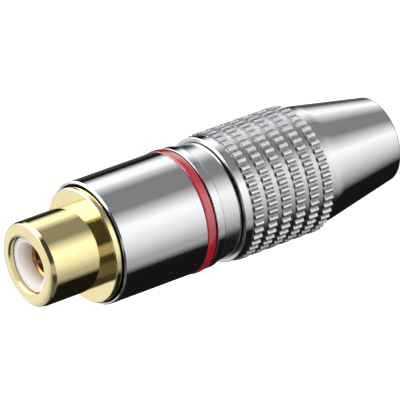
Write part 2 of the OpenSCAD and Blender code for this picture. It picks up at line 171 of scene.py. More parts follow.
class BarrelSizes(bpy.types.PropertyGroup):
    front_bevel: length("Front bevel", "Bevel on the barrel's front edge", 0.12)
    slot_width: length("Slot width", "Width of the fine slot round the flange", 0.14)
    slot_depth: length("Slot depth", "Depth of that slot", 0.3)
    rear_round: length("Rear edge", "Rounding of the edge beside the colour ring", 0.07)
    rim: length("Rim", "Width of the rim round the flange", 0.37)
    wall: length("Wall", "Wall round the threaded bore", 0.77)
    web: length("Web", "Thickness of the web that the jack is bolted to", 1.4)
    thread_bevel: length("Thread bevel", "Bevel at the mouth of the threaded bore", 0.25)
    edge_round: length("Edge", "Rounding of the finished edges", 0.03)


class RingSizes(bpy.types.PropertyGroup):
    thickness: length("Thickness", "Thickness of the colour ring", 0.52)
    crown: length("Crown", "Height of the crowned outer face", 0.08)
    edge_round: length("Edge", "Rounding of the ring's outer edges", 0.12)
    rear_gap: length("Rear gap", "Width of the step in the ring's rear edge", 0.2)
    gap_depth: length("Gap depth", "Depth of that step", 0.3)
    front_seam: length("Front seam", "Gap between the ring and the barrel", 0.03)


class RearBodySizes(bpy.types.PropertyGroup):
    band_round: length("Band edge", "Rounding of the band's rear edge", 0.17)
    front_round: length("Front edge", "Rounding of the edge beside the colour ring", 0.07)
    seat_step: length("Ring seat", "Step from the band in to the ring's seat", 0.45)
    neck_step: length("Neck step", "Step from the band in to the neck", 0.3)
    neck_len: length("Neck length", "Length of the neck", 2.05)
    band_len: length("Band length", "Length of the polished band", 0.95)
    thread_step: length("Thread step", "Step from the band in to the threads", 0.8)
    thread_pitch: length("Thread pitch", "Pitch of the thread under the shell", 0.75)
    thread_depth: length("Thread depth", "Depth of that thread", 0.42)
    thread_flank: share("Thread flank", "Steepness of the thread's flanks", 1.35, 4.0)
    thread_crest: share("Thread crest", "Flatness of the thread's crest", 0.2)
    thread_bevel: length("Thread bevel", "Bevel at the ends of the threads", 0.25)
    undercut_len: length("Undercut length", "Length of the undercut beside the neck", 0.6)
    undercut_depth: length("Undercut depth", "Depth of the undercut", 0.2)
    wall: length("Wall", "Wall between the threads and the bore", 0.85)
    lip_step: length("Lip step", "Step of the lip at the rear of the bore", 0.5)
    lip_len: length("Lip length", "Length of that lip", 0.9)
    edge_round: length("Edge", "Rounding of the finished edges", 0.03)


class ShellSizes(bpy.types.PropertyGroup):
    tail_rim: length("Tail rim", "Width of the tail's end round the cable hole", 1.19)
    tail_round: length("Tail edge", "Rounding of the tail's end", 0.2)
    tail_wall: length("Tail wall", "Wall of the cone", 0.85)
    tail_lip: length("Tail lip", "Length of the lip round the cable hole", 1.5)
    cone_len: length("Cone length", "Length of the cone", 8.55)
    cone_blend: length("Cone blend", "Radius of the soft turn from the cone to the collar", 5.0)
    collar_len: length("Collar length", "Length of the smooth collar", 1.3)
    collar_step: length("Collar step", "Step from the teeth in to the collar", 0.51)
    lip_step: length("Lip step", "Step from the teeth in to the front lip", 0.17)
    lip_len: length("Lip length", "Length of the front lip", 0.9)
    lip_bevel: length("Lip bevel", "Bevel on the front edge of the lip", 0.06)
    lip_groove: length("Lip groove", "Narrow groove beside the lip", 0.2)
    bore_step: length("Bore step", "Step from the lip in to the threaded bore", 0.93)
    bore_depth: length("Bore depth", "Depth of the threaded bore", 8.95)
    bore_bevel: length("Bore bevel", "Bevel at the mouth of the bore", 0.25)
    edge_round: length("Edge", "Rounding of the finished edges", 0.04)
    bands: IntProperty(name="Bands", description="Bands of teeth along the grip",
                       default=6, min=1, max=12)
    teeth: IntProperty(name="Teeth", description="Teeth round the grip",
                       default=48, min=12, max=80)
    pad_len: length("Band length", "Length of each band of teeth", 0.98)
    groove_len: length("Groove length", "Length of the groove between two bands", 0.66)
    tooth_depth: length("Tooth depth", "Depth of the valleys between the teeth", 0.23)
    groove_extra: length("Groove depth", "How far the grooves lie below the valleys", 0.04)
    land_share: share("Land", "Width of a tooth's land as a share of the pitch", 0.3)
    floor_share: share("Floor", "Width of a valley's floor as a share of the pitch", 0.28)
    land_crown: length("Land crown", "How far a land falls from its middle to its edges", 0.04)
    pad_round: length("Tooth end", "Rounding of the ends of the teeth", 0.03)


class FinishColours(bpy.types.PropertyGroup):
    chrome: colour("Chrome", "Bright chrome plate", "#D8D9DB")
    satin: colour("Satin chrome", "Chrome plate over turning marks", "#DCDDDE")
    gold: colour("Gold", "Pale hard gold plate", "#F2E2A8")
    # Its deeper tone than the sleeve's gold is painted light
    deep_gold: colour("Contact gold", "Gold plate of the centre contact", "#F2B05A")
    red: colour("Red", "Red moulded ring", "#B81E28")
    insulator: colour("Insulator", "White turned insulator", "#FAF6F5")
    # Painted shade with a painted gold reflection, at the funnel's foot
    funnel_foot: colour("Funnel foot", "Insulator where gold light tints it", "#B99A6C")
    tin: colour("Tin plate", "Dull tin plate", "#C6C5BE")
    fibre: colour("Fibre", "Brown insulating fibre", "#8C6438")
    fibre_dark: colour("Dark fibre", "Darker strands of the fibre", "#6A4725")
    nylon: colour("Nylon", "Black moulded nylon", "#1E1F21")


class StudioSettings(bpy.types.PropertyGroup):
    azimuth: angle("Azimuth", "Camera's direction round the part", 0.0)
    elevation: angle("Elevation", "Camera's height above the horizon", 31.0)
    roll: angle("Roll", "Slope of the part's axis in the picture", 20.0)
    distance: length("Distance", "Camera's distance from the part", 500.0)
    view_width: length("View width", "Width of the view at the part", 37.9)
    aim_height: length("Aim height", "Height of the view's centre on the part's axis", 20.8)
    aim_side: length("Aim side", "How far the view's centre lies above the axis", 0.24)
    room_light: share("Room", "Even light from all round", 0.72, 5.0)
    lamp_power: FloatProperty(name="Lamp", description="Power of the soft lamp in watts",
                              default=0.4, min=0.0)
    lamp_distance: length("Lamp distance", "Distance of the soft lamp", 300.0)
    lamp_width: length("Lamp width", "Width of the soft lamp", 260.0)
    floor_width: length("Floor width", "Width of the floor", 4000.0)
    floor_colour: colour("Floor", "Pale paper floor", "#F4F4F4")


# Meshes of turned pieces. A section is a closed list of corners in the order outside up, top
# inward, bore down and foot outward. A corner is its radius, its height and, where it is round,
# its rounding.

def rounded(section):
    """Points of a closed section, with each corner rounded by its own radius"""
    points = []
    count = len(section)
    for i, (radius, height, *more) in enumerate(section):
        corner = Vector((radius, height))
        before = Vector(section[i - 1][:2]) - corner
        after = Vector(section[(i + 1) % count][:2]) - corner
        turn = math.pi - before.angle(after)
        rounding = more[0] if more else 0.0
        if rounding <= 0 or turn < ROUND_STEP / 4:
            points.append(tuple(corner))
            continue
        inset = min(rounding * math.tan(turn / 2), ROUND_SHARE * before.length,
                    ROUND_SHARE * after.length)
        ray = inset / math.tan(turn / 2)
        bisector = (before.normalized() + after.normalized()).normalized()
        centre = corner + bisector * (ray / math.cos(turn / 2))
        start = corner + before.normalized() * inset - centre
        end = corner + after.normalized() * inset - centre
        steps = max(2, math.ceil(turn / ROUND_STEP))
        for k in range(steps + 1):
            part = k / steps
            arm = start * math.sin((1 - part) * turn) + end * math.sin(part * turn)
            points.append(tuple(centre + arm / math.sin(turn)))
    return points


def turned(name, section, columns=ROUND_COLUMNS, shape=None):
    """Closed mesh of a section with its corners rounded, turned round the axis.
    shape(radius, height, angle) gives the radius again where a knurl or a thread changes it.
    The normals are weighted by area, so that long faces stay true and the small ones between
    them carry the rounding. Where the piece is plainly round, they are made the same all round"""
    profile = np.array(rounded(section))
    around = np.array(columns)[None, :]
    radius = np.repeat(profile[:, :1], around.size, axis=1)
    height = np.repeat(profile[:, 1:], around.size, axis=1)
    if shape:
        radius = shape(radius, height, np.repeat(around, len(profile), axis=0))
    grid = np.stack([radius * np.cos(around), radius * np.sin(around), height], axis=2)
    right = np.roll(grid, -1, axis=1)
    above = np.roll(grid, -1, axis=0)
    across = np.roll(right, -1, axis=0)
    area = np.cross(across - grid, above - right)
    normals = area + np.roll(area, 1, axis=0)
    normals = normals + np.roll(normals, 1, axis=1)
    normals /= np.linalg.norm(normals, axis=2, keepdims=True)
    uneven = np.ptp(radius, axis=1) > UNEVEN
    plain = ~(uneven | np.roll(uneven, 1) | np.roll(uneven, -1))
    outward = normals[..., 0] * np.cos(around) + normals[..., 1] * np.sin(around)
    outward = np.mean(outward, axis=1, keepdims=True)
    upward = np.repeat(np.mean(normals[..., 2:], axis=1, keepdims=True), around.size, axis=1)
    true = np.stack([outward * np.cos(around), outward * np.sin(around), upward[..., 0]], axis=2)
    normals[plain] = true[plain]
    index = np.arange(radius.size).reshape(radius.shape)
    beside = np.roll(index, -1, axis=1)
    faces = np.stack([index, beside, np.roll(beside, -1, axis=0), np.roll(index, -1, axis=0)],
                     axis=2)
    mesh = bpy.data.meshes.new(name)
    mesh.from_pydata(grid.reshape(-1, 3).tolist(), [], faces.reshape(-1, 4).tolist())
    mesh.polygons.foreach_set("use_smooth", [True] * len(mesh.polygons))
    mesh.normals_split_custom_set_from_vertices(normals.reshape(-1, 3).tolist())
    mesh.update()
    return stand(name, mesh)


def stand(name, data):
    """A new object in the scene, for a mesh, a lamp or a camera"""
    holder = bpy.data.objects.new(name, data)
    bpy.context.scene.collection.objects.link(holder)
    return holder


def dress(piece, node, body, slot, *finishes):
    """Gives a piece its finishes and puts it in the place of its solid"""
    for make in finishes:
        piece.data.materials.append(make(bpy.context.scene.phono_colours))
    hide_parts(node)
    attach(piece, body)


# Node trees

# Nearly all of a noise pattern lies between these values
NOISE_LOW, NOISE_HIGH = 0.3, 0.7


def add(tree, kind, settings=None, inputs=None):
    """A shader node with its settings. Each named input gets a value or a link, and a node given
    for one is linked by its first enabled output"""
    node = tree.nodes.new("ShaderNode" + kind)
    for key, value in (settings or {}).items():
        setattr(node, key, value)
    for key, value in (inputs or {}).items():
        if isinstance(value, bpy.types.Node):
            value = next(output for output in value.outputs if output.enabled)
        if isinstance(value, bpy.types.NodeSocket):
            tree.links.new(value, node.inputs[key])
        else:
            node.inputs[key].default_value = value
    return node


def blank(name):
    """A new material with nothing in it yet"""
    material = bpy.data.materials.new(name)
    material.use_nodes = True
    material.node_tree.nodes.clear()
    return material, material.node_tree


def place_on(tree):
    """A place on a piece, in the part's own frame"""
    return add(tree, "TexCoord").outputs["Object"]


def from_axis(tree):
    """How far a place lies from the part's axis"""
    flat = add(tree, "VectorMath", {"operation": "MULTIPLY"},
               {0: place_on(tree), 1: (1.0, 1.0, 0.0)})
    return add(tree, "VectorMath", {"operation": "LENGTH"}, {0: flat})


def toward_axis(tree, start, stop):
    """Rises from 0 at one radius to 1 at another"""
    return add(tree, "MapRange",
               inputs={"Value": from_axis(tree), "From Min": start, "From Max": stop})


def turning_marks(tree, pitch):
    """Rings of a turning tool: a noise that changes along the radius and the height alone"""
    height = add(tree, "SeparateXYZ", inputs={0: place_on(tree)}).outputs["Z"]
    rings = add(tree, "CombineXYZ", inputs={"X": from_axis(tree), "Y": height})
    return add(tree, "TexNoise", {"noise_dimensions": "2D"},
               {"Vector": rings, "Scale": 1 / pitch, "Detail": 2.0})


def clouds(tree, size, detail=2.0):
    """Uneven patches of about one size all over a piece"""
    return add(tree, "TexNoise",
               inputs={"Vector": place_on(tree), "Scale": 1 / size, "Detail": detail})


def paint_corner_shade(tree, base, reach_of_shade, darkest, start=0.5, stop=0.92):
    """Paints shade into a colour in the corners and seams, darker where a place is less open"""
    openness = add(tree, "AmbientOcclusion", {"samples": 8},
                   {"Distance": reach_of_shade}).outputs["AO"]
    level = add(tree, "MapRange",
                inputs={"Value": openness, "From Min": start, "From Max": stop, "To Min": darkest})
    return add(tree, "VectorMath", {"operation": "SCALE"}, {0: base, "Scale": level})


def tinted(tree, pattern, first, second):
    """Mix of two colours by a pattern"""
    return add(tree, "Mix", {"data_type": "RGBA"},
               {"Factor": pattern, 6: (*first, 1.0), 7: (*second, 1.0)})


def shade(base, factor):
    """A colour made darker or lighter"""
    return tuple(min(1.0, channel * factor) for channel in base)


def surface(tree, base, gloss, roughness, relief=None, more=None):
    """Ends a material. The pattern gloss moves the roughness between its two values. relief is
    a pattern and its real depth, and more holds what else the shader takes"""
    polish = add(tree, "MapRange",
                 inputs={"Value": gloss, "From Min": NOISE_LOW, "From Max": NOISE_HIGH,
                         "To Min": roughness[0], "To Max": roughness[1]})
    inputs = {"Base Color": base, "Roughness": polish, **(more or {})}
    if relief:
        pattern, depth = relief
        inputs["Normal"] = add(tree, "Bump", inputs={"Height": pattern, "Distance": depth})
    shader = add(tree, "BsdfPrincipled", inputs=inputs)
    add(tree, "OutputMaterial", inputs={"Surface": shader})


# Materials

METAL = {"Metallic": 1.0}


def polished_chrome(colours):
    """Bright chrome plate over polished brass"""
    # A near mirror: the eye sees the room in it, a little soft where the polish is thinner
    material, tree = blank("polished_chrome")
    polish = clouds(tree, 1.6 * MM)
    ripple = clouds(tree, 0.7 * MM)
    plate = tinted(tree, polish, shade(colours.chrome, 0.97), colours.chrome)
    # Shade is painted into its corners and seams, down to a tenth of its colour
    surface(tree, paint_corner_shade(tree, plate, 0.25 * MM, 0.1), polish, (0.05, 0.09),
            (ripple, 0.0006 * MM), METAL)
    return material


def knurled_chrome(colours):
    """Chrome plate over a rolled knurl"""
    # The plate follows the tool's torn metal, so each tooth glints a little differently. Its
    # colour is lifted above the polished chrome's, a painted light, and shade is painted into its
    # corners down to black
    material, tree = blank("knurled_chrome")
    grain = clouds(tree, 0.25 * MM, 3.0)
    patches = clouds(tree, 1.1 * MM)
    plate = tinted(tree, patches, shade(colours.chrome, 1.1), shade(colours.chrome, 1.4))
    surface(tree, paint_corner_shade(tree, plate, 0.5 * MM, 0.0, 0.7, 0.95), grain, (0.3, 0.46),
            (grain, 0.02 * MM), METAL)
    return material


def painted_shade_tooth_ends(colours):
    """Chrome on the ends of the teeth, darkened by painted shade"""
    # Dull where the tool tears the metal, and dark from painted shade, with more painted shade in
    # the corner
    material, tree = blank("painted_shade_tooth_ends")
    grain = clouds(tree, 0.2 * MM, 3.0)
    plate = tinted(tree, grain, shade(colours.chrome, 0.22), shade(colours.chrome, 0.4))
    surface(tree, paint_corner_shade(tree, plate, 0.3 * MM, 0.1), grain, (0.25, 0.4),
            (grain, 0.008 * MM), METAL)
    return material


def plate_on_marks(name, colours, dull, bright, roughness):
    """Satin chrome plate over the marks of a turning tool. They run round the piece and draw
    each reflection out along the axis. The real marks are finer than 0.05 mm, and are drawn as
    coarse as they need to show"""
    material, tree = blank(name)
    marks = turning_marks(tree, 0.12 * MM)
    # The colour goes darker and lighter along the marks, a painted sheen on top of their roughness
    # and relief
    plate = tinted(tree, marks, shade(colours.satin, dull), shade(colours.satin, bright))
    # Shade is painted into its corners and seams, down to 0.15 of its colour
    surface(tree, paint_corner_shade(tree, plate, 0.25 * MM, 0.15), marks, roughness,
            (marks, 0.004 * MM), METAL)
    return material


def turned_chrome(colours):
    """Chrome plate over fine turning marks"""
    # Satin, with soft streaks of light along the neck and the collar, from the marks' roughness
    # and relief and from sheen painted along them
    return plate_on_marks("turned_chrome", colours, 0.86, 1.0, (0.13, 0.23))


def satin_with_painted_shade(colours):
    """Chrome plate in the grooves between the bands of teeth, greyed by painted shade"""
    # Softer than the neck, for no polishing wheel reaches it, and greyer by painted shade
    return plate_on_marks("satin_with_painted_shade", colours, 0.72, 0.86, (0.2, 0.3))


def gold_plate(colours):
    """Pale hard gold over polished brass"""
    # Mirror bright with a lemon tint, and slightly uneven where it was racked in the bath. The
    # real marks of its turning are too fine to show, and are drawn 0.1 mm apart
    material, tree = blank("gold_plate")
    bath = clouds(tree, 1.4 * MM)
    surface(tree, tinted(tree, bath, shade(colours.gold, 0.96), colours.gold), bath,
            (0.05, 0.1), (turning_marks(tree, 0.1 * MM), 0.0008 * MM), METAL)
    return material


def contact_gold(colours):
    """Gold plate on the spring contact"""
    # Deeper in tone than the sleeve: painted light, for the light that met gold before
    material, tree = blank("contact_gold")
    bath = clouds(tree, 0.8 * MM)
    surface(tree, tinted(tree, bath, shade(colours.deep_gold, 0.9), colours.deep_gold), bath,
            (0.3, 0.42), more=METAL)
    return material


def red_ring_plastic(colours):
    """Red ABS, moulded with a glossy face"""
    # A clear skin of light over an even red, with a slight swirl of pigment under it
    material, tree = blank("red_ring_plastic")
    swirl = clouds(tree, 0.9 * MM)
    dimples = clouds(tree, 0.3 * MM)
    surface(tree, tinted(tree, swirl, shade(colours.red, 0.85), shade(colours.red, 1.1)),
            dimples, (0.1, 0.18), (dimples, 0.002 * MM),
            {"IOR": 1.54, "Coat Weight": 1.0, "Coat IOR": 1.75, "Coat Roughness": 0.06})
    return material


def turned_insulator(colours):
    """White acetal, turned from rod"""
    # Milky: the light soaks a little way in, and the tool's rings show only as a soft sheen.
    # The foot of the funnel is painted a warm brown, a painted shade with a painted reflection of
    # the contact's gold
    material, tree = blank("turned_insulator")
    marks = turning_marks(tree, 0.1 * MM)
    haze = clouds(tree, 1.2 * MM)
    white = tinted(tree, haze, shade(colours.insulator, 0.96), colours.insulator)
    funnel_shade_painted = add(tree, "Mix", {"data_type": "RGBA"},
               {"Factor": toward_axis(tree, 2.05 * MM, 1.62 * MM), 6: white,
                7: (*colours.funnel_foot, 1.0)})
    surface(tree, funnel_shade_painted, marks, (0.35, 0.5), (marks, 0.003 * MM),
            {"IOR": 1.48, "Subsurface Weight": 0.15, "Subsurface Scale": 1.0,
             "Subsurface Radius": (0.4 * MM, 0.35 * MM, 0.35 * MM)})
    return material


def tin_plate(colours):
    """Dull tin plate on stamped and milled brass"""
    # Grey and soft, with the faint patches that a barrel plated batch has
    material, tree = blank("tin_plate")
    patches = clouds(tree, 0.6 * MM, 4.0)
    surface(tree, tinted(tree, patches, shade(colours.tin, 0.85), colours.tin), patches,
            (0.3, 0.45), (patches, 0.006 * MM), METAL)
    return material


def vulcanised_fibre(colours):
    """Brown insulating fibre, rolled into a tube"""
    # Matt, with the darker strands of its paper running round it
    material, tree = blank("vulcanised_fibre")
    drawn = add(tree, "Mapping", inputs={"Vector": place_on(tree), "Scale": (0.2, 0.2, 1.0)})
    strands = add(tree, "TexNoise",
                  inputs={"Vector": drawn, "Scale": 1 / (0.2 * MM), "Detail": 4.0})
    surface(tree, tinted(tree, strands, colours.fibre_dark, colours.fibre), strands,
            (0.65, 0.85), (strands, 0.01 * MM))
    return material


def black_nylon(colours):
    """Black nylon, moulded in a spark eroded tool"""
    # Soft black, with the tool's fine grain catching a dull light
    material, tree = blank("black_nylon")
    grain = clouds(tree, 0.12 * MM, 3.0)
    surface(tree, tinted(tree, grain, shade(colours.nylon, 0.8), shade(colours.nylon, 1.3)),
            grain, (0.4, 0.6), (grain, 0.008 * MM), {"IOR": 1.53})
    return material


# Pieces

class PHONO_OT_contact_sleeve(bpy.types.Operator):
    """Makes the gold plated sleeve with its crowned face and its flange"""
    bl_idname = "phono.contact_sleeve"
    bl_label = "Contact sleeve"

    def execute(self, context):
        s = context.scene.phono_jack
        edge = s.edge_round
        sleeve_r = mount_radius("jack_sleeve")
        flange_r = reach("contact_sleeve")
        crown_z = top("contact_sleeve")
        rim_z = crown_z - s.crown_rise
        mouth_z = rim_z - s.mouth_depth
        flange_top = top("front_barrel") + s.flange_proud
        flange_z = top("front_barrel") - s.seat_depth
        spigot_z = foot("contact_sleeve")
        spigot_r = sleeve_r - s.spigot_step
        bore_r = reach("front_insulator") + s.bore_gap
        mouth_r = bore_r - s.mouth_step
        crown_in = mouth_r + s.mouth_bevel
        run = sleeve_r - crown_in
        arc = (run ** 2 + s.crown_rise ** 2) / (2 * s.crown_rise)
        # The crown falls along its arc until it meets the rim's bevel
        crown = []
        for k in range(SLEEVE_STEPS, -1, -1):
            out = (run - s.rim_bevel) * k / SLEEVE_STEPS
            crown.append((crown_in + out, crown_z - arc + math.sqrt(arc ** 2 - out ** 2)))
        lip_z = spigot_z + s.lip_len
        section = [
            (spigot_r, spigot_z, s.spigot_round),
            (spigot_r, flange_z),
            (flange_r - s.flange_bevel, flange_z, edge),
            (flange_r, flange_z + s.flange_bevel, edge),
            (flange_r, flange_top - s.flange_bevel, edge),
            (flange_r - s.flange_bevel, flange_top, edge),
            (sleeve_r, flange_top, edge / 6),
            (sleeve_r, rim_z - s.rim_bevel_len, edge),
            *crown,
            (mouth_r, crown_z - s.mouth_fall, edge),
            (mouth_r, mouth_z),
            (bore_r, mouth_z),
            (bore_r, lip_z),
            (bore_r - s.lip_inset, lip_z),
            (bore_r - s.lip_inset, spigot_z, edge),
        ]
        piece = turned("gold_contact_sleeve", section)
        dress(piece, "contact_sleeve", "socket", "gold_plate", gold_plate)
        return {"FINISHED"}


class PHONO_OT_front_insulator(bpy.types.Operator):
    """Makes the white insulator with its funnel"""
    bl_idname = "phono.front_insulator"
    bl_label = "Front insulator"

    def execute(self, context):
        s = context.scene.phono_jack
        edge = s.edge_round
        low = foot("front_insulator")
        nose_z = top("front_insulator")
        body_r = reach("front_insulator")
        mouth_z = top("contact_sleeve") - s.crown_rise - s.mouth_depth
        nose_r = body_r - s.mouth_step
        funnel_foot = nose_z - s.funnel_depth
        throat_r = mount_radius("jack_bore") + s.throat_gap
        section = [
            (body_r, low, edge),
            (body_r, mouth_z, edge),
            (nose_r, mouth_z, edge),
            (nose_r, nose_z, 2 * edge),
            (nose_r - s.nose_rim, nose_z, 4 * edge),
            (throat_r, funnel_foot, 2 * edge),
            (s.finger_bore, funnel_foot - edge),
            (s.finger_bore, low + s.collar_depth),
            (s.collar_bore, low + s.collar_depth),
            (s.collar_bore, low, edge),
        ]
        piece = turned("funnel_insulator", section)
        dress(piece, "front_insulator", "socket", "white_insulator", turned_insulator)
        return {"FINISHED"}


class PHONO_OT_front_barrel(bpy.types.Operator):
    """Makes the polished barrel that holds the jack"""
    bl_idname = "phono.front_barrel"
    bl_label = "Front barrel"

    def execute(self, context):
        s = context.scene.phono_barrel
        jack = context.scene.phono_jack
        edge = s.edge_round
        low = foot("front_barrel")
        high = top("front_barrel")
        outer = reach("front_barrel")
        recess_r = outer - s.rim
        slot_r = recess_r + s.slot_width
        bore_r = outer - s.wall
        flange_z = high - jack.seat_depth
        web_z = flange_z - s.web
        hole_r = mount_radius("jack_sleeve") - jack.spigot_step + jack.bore_gap
        section = [
            (outer, low, s.rear_round),
            (outer, high - s.front_bevel, edge),
            (outer - s.front_bevel, high, edge),
            (slot_r, high, edge / 2),
            (slot_r, high - s.slot_depth),
            (recess_r, high - s.slot_depth),
            (recess_r, flange_z),
            (hole_r, flange_z),
            (hole_r, web_z),
            (bore_r, web_z),
            (bore_r, low + s.thread_bevel, edge),
            (bore_r + s.thread_bevel, low, edge),
        ]
        piece = turned("polished_barrel", section)
        dress(piece, "front_barrel", "socket", "chrome_plate", polished_chrome)
        return {"FINISHED"}


class PHONO_OT_colour_ring(bpy.types.Operator):
    """Makes the red ring with its crowned face"""
    bl_idname = "phono.colour_ring"
    bl_label = "Colour ring"

    def execute(self, context):
        s = context.scene.phono_ring
        rear = foot("colour_ring")
        low = rear + s.rear_gap
        high = top("colour_ring") - s.front_seam
        outer = reach("colour_ring")
        inner = outer - s.thickness
        crown = []
        for k in range(RING_STEPS + 1):
            part = k / RING_STEPS
            rise = s.crown * 4 * part * (1 - part)
            rounding = s.edge_round if k in (0, RING_STEPS) else 0.0
            crown.append((outer - s.crown + rise, low + (high - low) * part, rounding))
        step_r = outer - s.gap_depth
        section = [(inner, rear), (step_r, rear), (step_r, low), *crown, (inner, high)]
        piece = turned("red_colour_ring", section)
        dress(piece, "colour_ring", "socket", "red_plastic", red_ring_plastic)
        return {"FINISHED"}


class PHONO_OT_rear_body(bpy.types.Operator):
    """Makes the rear body: the band, the neck and the thread that the shell runs on"""
    bl_idname = "phono.rear_body"
    bl_label = "Rear body"

    def execute(self, context):
        s = context.scene.phono_rear
        edge = s.edge_round
        low = foot("rear_body")
        high = top("rear_body")
        ring_z = foot("colour_ring")
        barrel_z = foot("front_barrel")
        band_r = reach("rear_body")
        band_z = ring_z - s.band_len
        neck_r = band_r - s.neck_step
        neck_z = band_z - s.neck_len
        thread_r = band_r - s.thread_step
        bore_r = thread_r - s.wall
        lip_r = bore_r - s.lip_step
        thread_low = low + s.thread_bevel
        thread_high = neck_z - s.undercut_len
        rows = round((thread_high - thread_low) / s.thread_pitch * THREAD_ROWS)
        crest = [(thread_r, thread_low + (thread_high - thread_low) * k / rows)
                 for k in range(rows + 1)]
        section = [
            (thread_r - s.thread_bevel, low, edge),
            *crest,
            (thread_r - s.undercut_depth, thread_high),
            (thread_r - s.undercut_depth, neck_z),
            (neck_r, neck_z, edge),
            (neck_r, band_z),
            (band_r, band_z, s.band_round),
            (band_r, ring_z, s.front_round),
            (band_r - s.seat_step, ring_z),
            (band_r - s.seat_step, barrel_z, edge),
            (thread_r, barrel_z),
            (thread_r, high - s.thread_bevel, edge),
            (thread_r - s.thread_bevel, high, edge),
            (bore_r, high, edge),
            (bore_r, low + s.lip_len),
            (lip_r, low + s.lip_len, edge),
            (lip_r, low, edge),
        ]

        def cut_thread(radius, height, around):
            """Right-hand vee thread that runs out at both ends"""
            turn = (height / s.thread_pitch - around / math.tau) % 1.0
            vee = np.abs(2 * turn - 1) * s.thread_flank - s.thread_crest
            run_out = np.clip((height - thread_low) / s.thread_pitch, 0.0, 1.0)
            run_out *= np.clip((thread_high - height) / (s.thread_pitch / 2), 0.0, 1.0)
            at_crest = np.abs(radius - thread_r) < edge / 10
            in_length = (height > thread_low - edge) & (height < thread_high + edge)
            depth = s.thread_depth * np.clip(vee, 0.0, 1.0) * run_out
            return np.where(at_crest & in_length, radius - depth, radius)

        piece = turned("threaded_rear_body", section, shape=cut_thread)
        # The band is polished, and the neck and the thread keep the tool's marks
        dress(piece, "rear_body", "socket", "chrome_plate", polished_chrome, turned_chrome)
        for face in piece.data.polygons:
            face.material_index = 1 if face.center.z < band_z else 0
        return {"FINISHED"}


class PHONO_OT_back_shell(bpy.types.Operator):
    """Makes the back shell: the cone, the collar, the knurl and the lip"""
    bl_idname = "phono.back_shell"
    bl_label = "Back shell"

    def execute(self, context):
        s = context.scene.phono_shell
        edge = s.edge_round
        high = top("back_shell")
        land_r = reach("back_shell")
        valley_r = land_r - s.tooth_depth
        groove_r = valley_r - s.groove_extra
        collar_r = land_r - s.collar_step
        lip_r = land_r - s.lip_step
        lip_z = high - s.lip_len
        knurl_z = s.cone_len + s.collar_len
        hole_r = mount_radius("cable_entry")
        tail_r = hole_r + s.tail_rim
        slope = (collar_r - tail_r) / s.cone_len
        bore_r = lip_r - s.bore_step
        bore_z = high - s.bore_depth
        guide_r = collar_r - s.tail_wall

        # Each band of teeth is drawn through a land, with rounded ends
        quarter = [k / TOOTH_STEPS * math.pi / 2 for k in range(TOOTH_STEPS + 1)]
        rise = [(land_r - s.pad_round * (1 - math.sin(turn)), s.pad_round * (1 - math.cos(turn)))
                for turn in quarter]
        bands = []
        for i in range(s.bands):
            start = knurl_z + i * (s.pad_len + s.groove_len)
            stop = start + s.pad_len
            bands += [(groove_r, start)]
            bands += [(radius, start + inward) for radius, inward in rise]
            bands += [(radius, stop - inward) for radius, inward in reversed(rise)]
            bands += [(groove_r, stop)]

        section = [
            (tail_r, 0.0, s.tail_round),
            (collar_r, s.cone_len, s.cone_blend),
            (collar_r, knurl_z - edge / 2),
            (collar_r, knurl_z),
            *bands,
            (groove_r, lip_z),
            (lip_r, lip_z, edge),
            (lip_r, high - s.lip_bevel, edge),
            (lip_r - s.lip_bevel, high, edge),
            (bore_r + s.bore_bevel, high, edge),
            (bore_r, high - s.bore_bevel),
            (bore_r, bore_z),
            (guide_r, bore_z),
            (guide_r, s.cone_len),
            (tail_r + slope * s.tail_lip - s.tail_wall, s.tail_lip),
            (hole_r, s.tail_lip, edge),
            (hole_r, 0.0, 2 * edge),
        ]

        # Columns lie on the teeth's edges, from the valley up the flank and over the crowned land
        pitch = math.tau / s.teeth
        land = s.land_share * pitch / 2
        foot_at = (1 - s.floor_share) * pitch / 2
        offsets = [foot_at + VALLEY_COLUMN * (pitch / 2 - foot_at), foot_at,
                   (foot_at + land) / 2, *(part * land for part in LAND_COLUMNS)]
        columns = []
        for i in range(s.teeth):
            centre = i * pitch
            columns += [centre - x for x in offsets] + [centre]
            columns += [centre + x for x in reversed(offsets)] + [centre + pitch / 2]

        def cut_teeth(radius, height, around):
            """Brings what stands above the valleys down to them between two teeth"""
            off_centre = np.abs((around / pitch + 0.5) % 1.0 - 0.5) * pitch
            crowned = land_r - s.land_crown * np.minimum(off_centre / land, 1.0) ** 2
            climb = np.clip((foot_at - off_centre) / (foot_at - land), 0.0, 1.0)
            tooth = valley_r + (crowned - valley_r) * climb
            in_knurl = (radius > valley_r) & (height < lip_z - s.lip_groove / 2)
            return np.where(in_knurl, np.minimum(radius, tooth), radius)

        piece = turned("knurled_back_shell", section, columns, cut_teeth)
        # The cone and the lip are polished. The knurl is rough from its tool, and the ends of its
        # teeth are darkened by painted shade. The grooves between its bands, the collar and the
        # lip's front are turned, and the grooves and the lip's front are greyed by painted shade
        dress(piece, "back_shell", "shell", "chrome_plate", polished_chrome, knurled_chrome,
              satin_with_painted_shade, painted_shade_tooth_ends, turned_chrome)
        polished, knurled, shaded_satin, shaded_end, turned_finely = range(5)
        for face in piece.data.polygons:
            height = face.center.z
            finish = polished
            # The lip's front gets the satin chrome greyed by painted shade
            if height > high - edge and face.normal.z > LIP_FRONT:
                finish = shaded_satin
            elif s.cone_len + s.collar_len / 2 < height < knurl_z:
                finish = turned_finely
            elif (knurl_z < height < lip_z
                    and math.hypot(face.center.x, face.center.y) > collar_r + edge):
                along = (height - knurl_z + edge) % (s.pad_len + s.groove_len)
                # The grooves get the satin chrome greyed by painted shade
                finish = knurled if along < s.pad_len + 2 * edge else shaded_satin
                # The front ends of the teeth get chrome darkened by painted shade
                if face.normal.z > TOOTH_END:
                    finish = shaded_end
            face.material_index = finish
        return {"FINISHED"}


